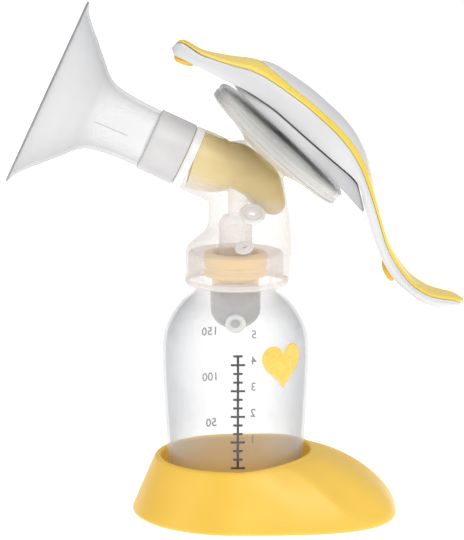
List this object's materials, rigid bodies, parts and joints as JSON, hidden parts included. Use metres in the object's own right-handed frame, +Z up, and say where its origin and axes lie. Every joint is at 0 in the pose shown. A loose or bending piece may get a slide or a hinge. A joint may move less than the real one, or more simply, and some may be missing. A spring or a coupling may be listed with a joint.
{
  "type": "manual breast pump",
  "caption": "Hand-operated breast pump: clear funnel shield and connector on a graduated bottle in a yellow stand, with a swan-shaped two-phase squeeze handle.",
  "frame": {"origin": "on the table under the middle of the overall box, within a millimetre of the bottle axis", "axes": "+Z up along the bottle, +X from the shield towards the long end of the handle, +Y across"},
  "size_m": [0.187, 0.0854, 0.2109],
  "materials": {
    "bottle_stand": "satin yellow",
    "bottle": "clear",
    "connector_body": "clear, slightly milky",
    "connector_liner": "amber, translucent",
    "valve_head": "satin yellow",
    "diaphragm": "translucent silicone",
    "breast_shield": "clear, frosted flare",
    "valve_membrane": "white silicone",
    "diaphragm_cap": "grey, translucent",
    "handle_keel": "white",
    "handle_shell": "white",
    "handle_grip_inlay": "yellow",
    "handle_crown": "white gloss",
    "front_finger_pad": "yellow soft grip",
    "rear_finger_pad": "yellow soft grip",
    "pin_bracket_near": "white",
    "pin_bracket_far": "white",
    "stem_pin": "grey",
    "stem": "white",
    "stem_o_ring": "clear silicone",
    "piston_plate": "white"
  },
  "bodies": {
    "stand": {"bottle_stand": "bottle_stand"},
    "pump": {"bottle": "bottle", "connector_body": "connector_body", "connector_liner": "connector_liner", "valve_head": "valve_head", "diaphragm": "diaphragm"},
    "shield": {"breast_shield": "breast_shield"},
    "flap": {"valve_membrane": "valve_membrane"},
    "cap": {"diaphragm_cap": "diaphragm_cap"},
    "rocker": {"handle_keel": "handle_keel"},
    "handle": {"handle_shell": "handle_shell", "handle_grip_inlay": "handle_grip_inlay", "handle_crown": "handle_crown", "front_finger_pad": "front_finger_pad", "rear_finger_pad": "rear_finger_pad", "pin_bracket_near": "pin_bracket_near", "pin_bracket_far": "pin_bracket_far"},
    "pin": {"stem_pin": "stem_pin"},
    "stem": {"stem": "stem", "stem_o_ring": "stem_o_ring", "piston_plate": "piston_plate"}
  },
  "joints": [
    {"name": "pump_lift", "type": "slide", "parent": "stand", "child": "pump", "axis": [0, 0, 1], "range_m": [0, 0.06]},
    {"name": "shield_pull", "type": "slide", "parent": "pump", "child": "shield", "axis": [-0.9063, 0, 0.4226], "range_m": [0, 0.03]},
    {"name": "flap_open", "type": "hinge", "parent": "pump", "child": "flap", "pos_m": [0, -0.0094, 0.0978], "axis": [-1, 0, 0], "range_deg": [0, 20], "stiffness_Nm_per_rad": 0.0005, "springref_deg": -5.73},
    {"name": "handle_swivel", "type": "hinge", "parent": "pump", "child": "cap", "pos_m": [0.01915, 0, 0.15554], "axis": [0.6749, 0, 0.7379], "range_deg": [-120, 120]},
    {"name": "handle_squeeze", "type": "hinge", "parent": "cap", "child": "rocker", "pos_m": [0.04319, 0, 0.14033], "axis": [0, 1, 0], "range_deg": [0, 11], "stiffness_Nm_per_rad": 1.5, "springref_deg": -2.29, "deforming": ["diaphragm"]},
    {"name": "let_down_rock", "type": "hinge", "parent": "rocker", "child": "handle", "pos_m": [0.00482, 0, 0.17543], "axis": [0, -1, 0], "range_deg": [0, 3.5], "stiffness_Nm_per_rad": 1.5, "springref_deg": -3.44},
    {"name": "pin_turn", "type": "hinge", "parent": "handle", "child": "pin", "pos_m": [0.02252, 0, 0.15923], "axis": [0, 1, 0], "range_deg": [-11, 0]},
    {"name": "stem_level", "type": "hinge", "parent": "pin", "child": "stem", "pos_m": [0.02252, 0, 0.15923], "axis": [0, -1, 0], "range_deg": [-3.5, 0]}
  ],
  "couplings": [
    {"joint": "pin_turn", "follows": "handle_squeeze", "ratio": -1},
    {"joint": "stem_level", "follows": "let_down_rock", "ratio": -1}
  ]
}
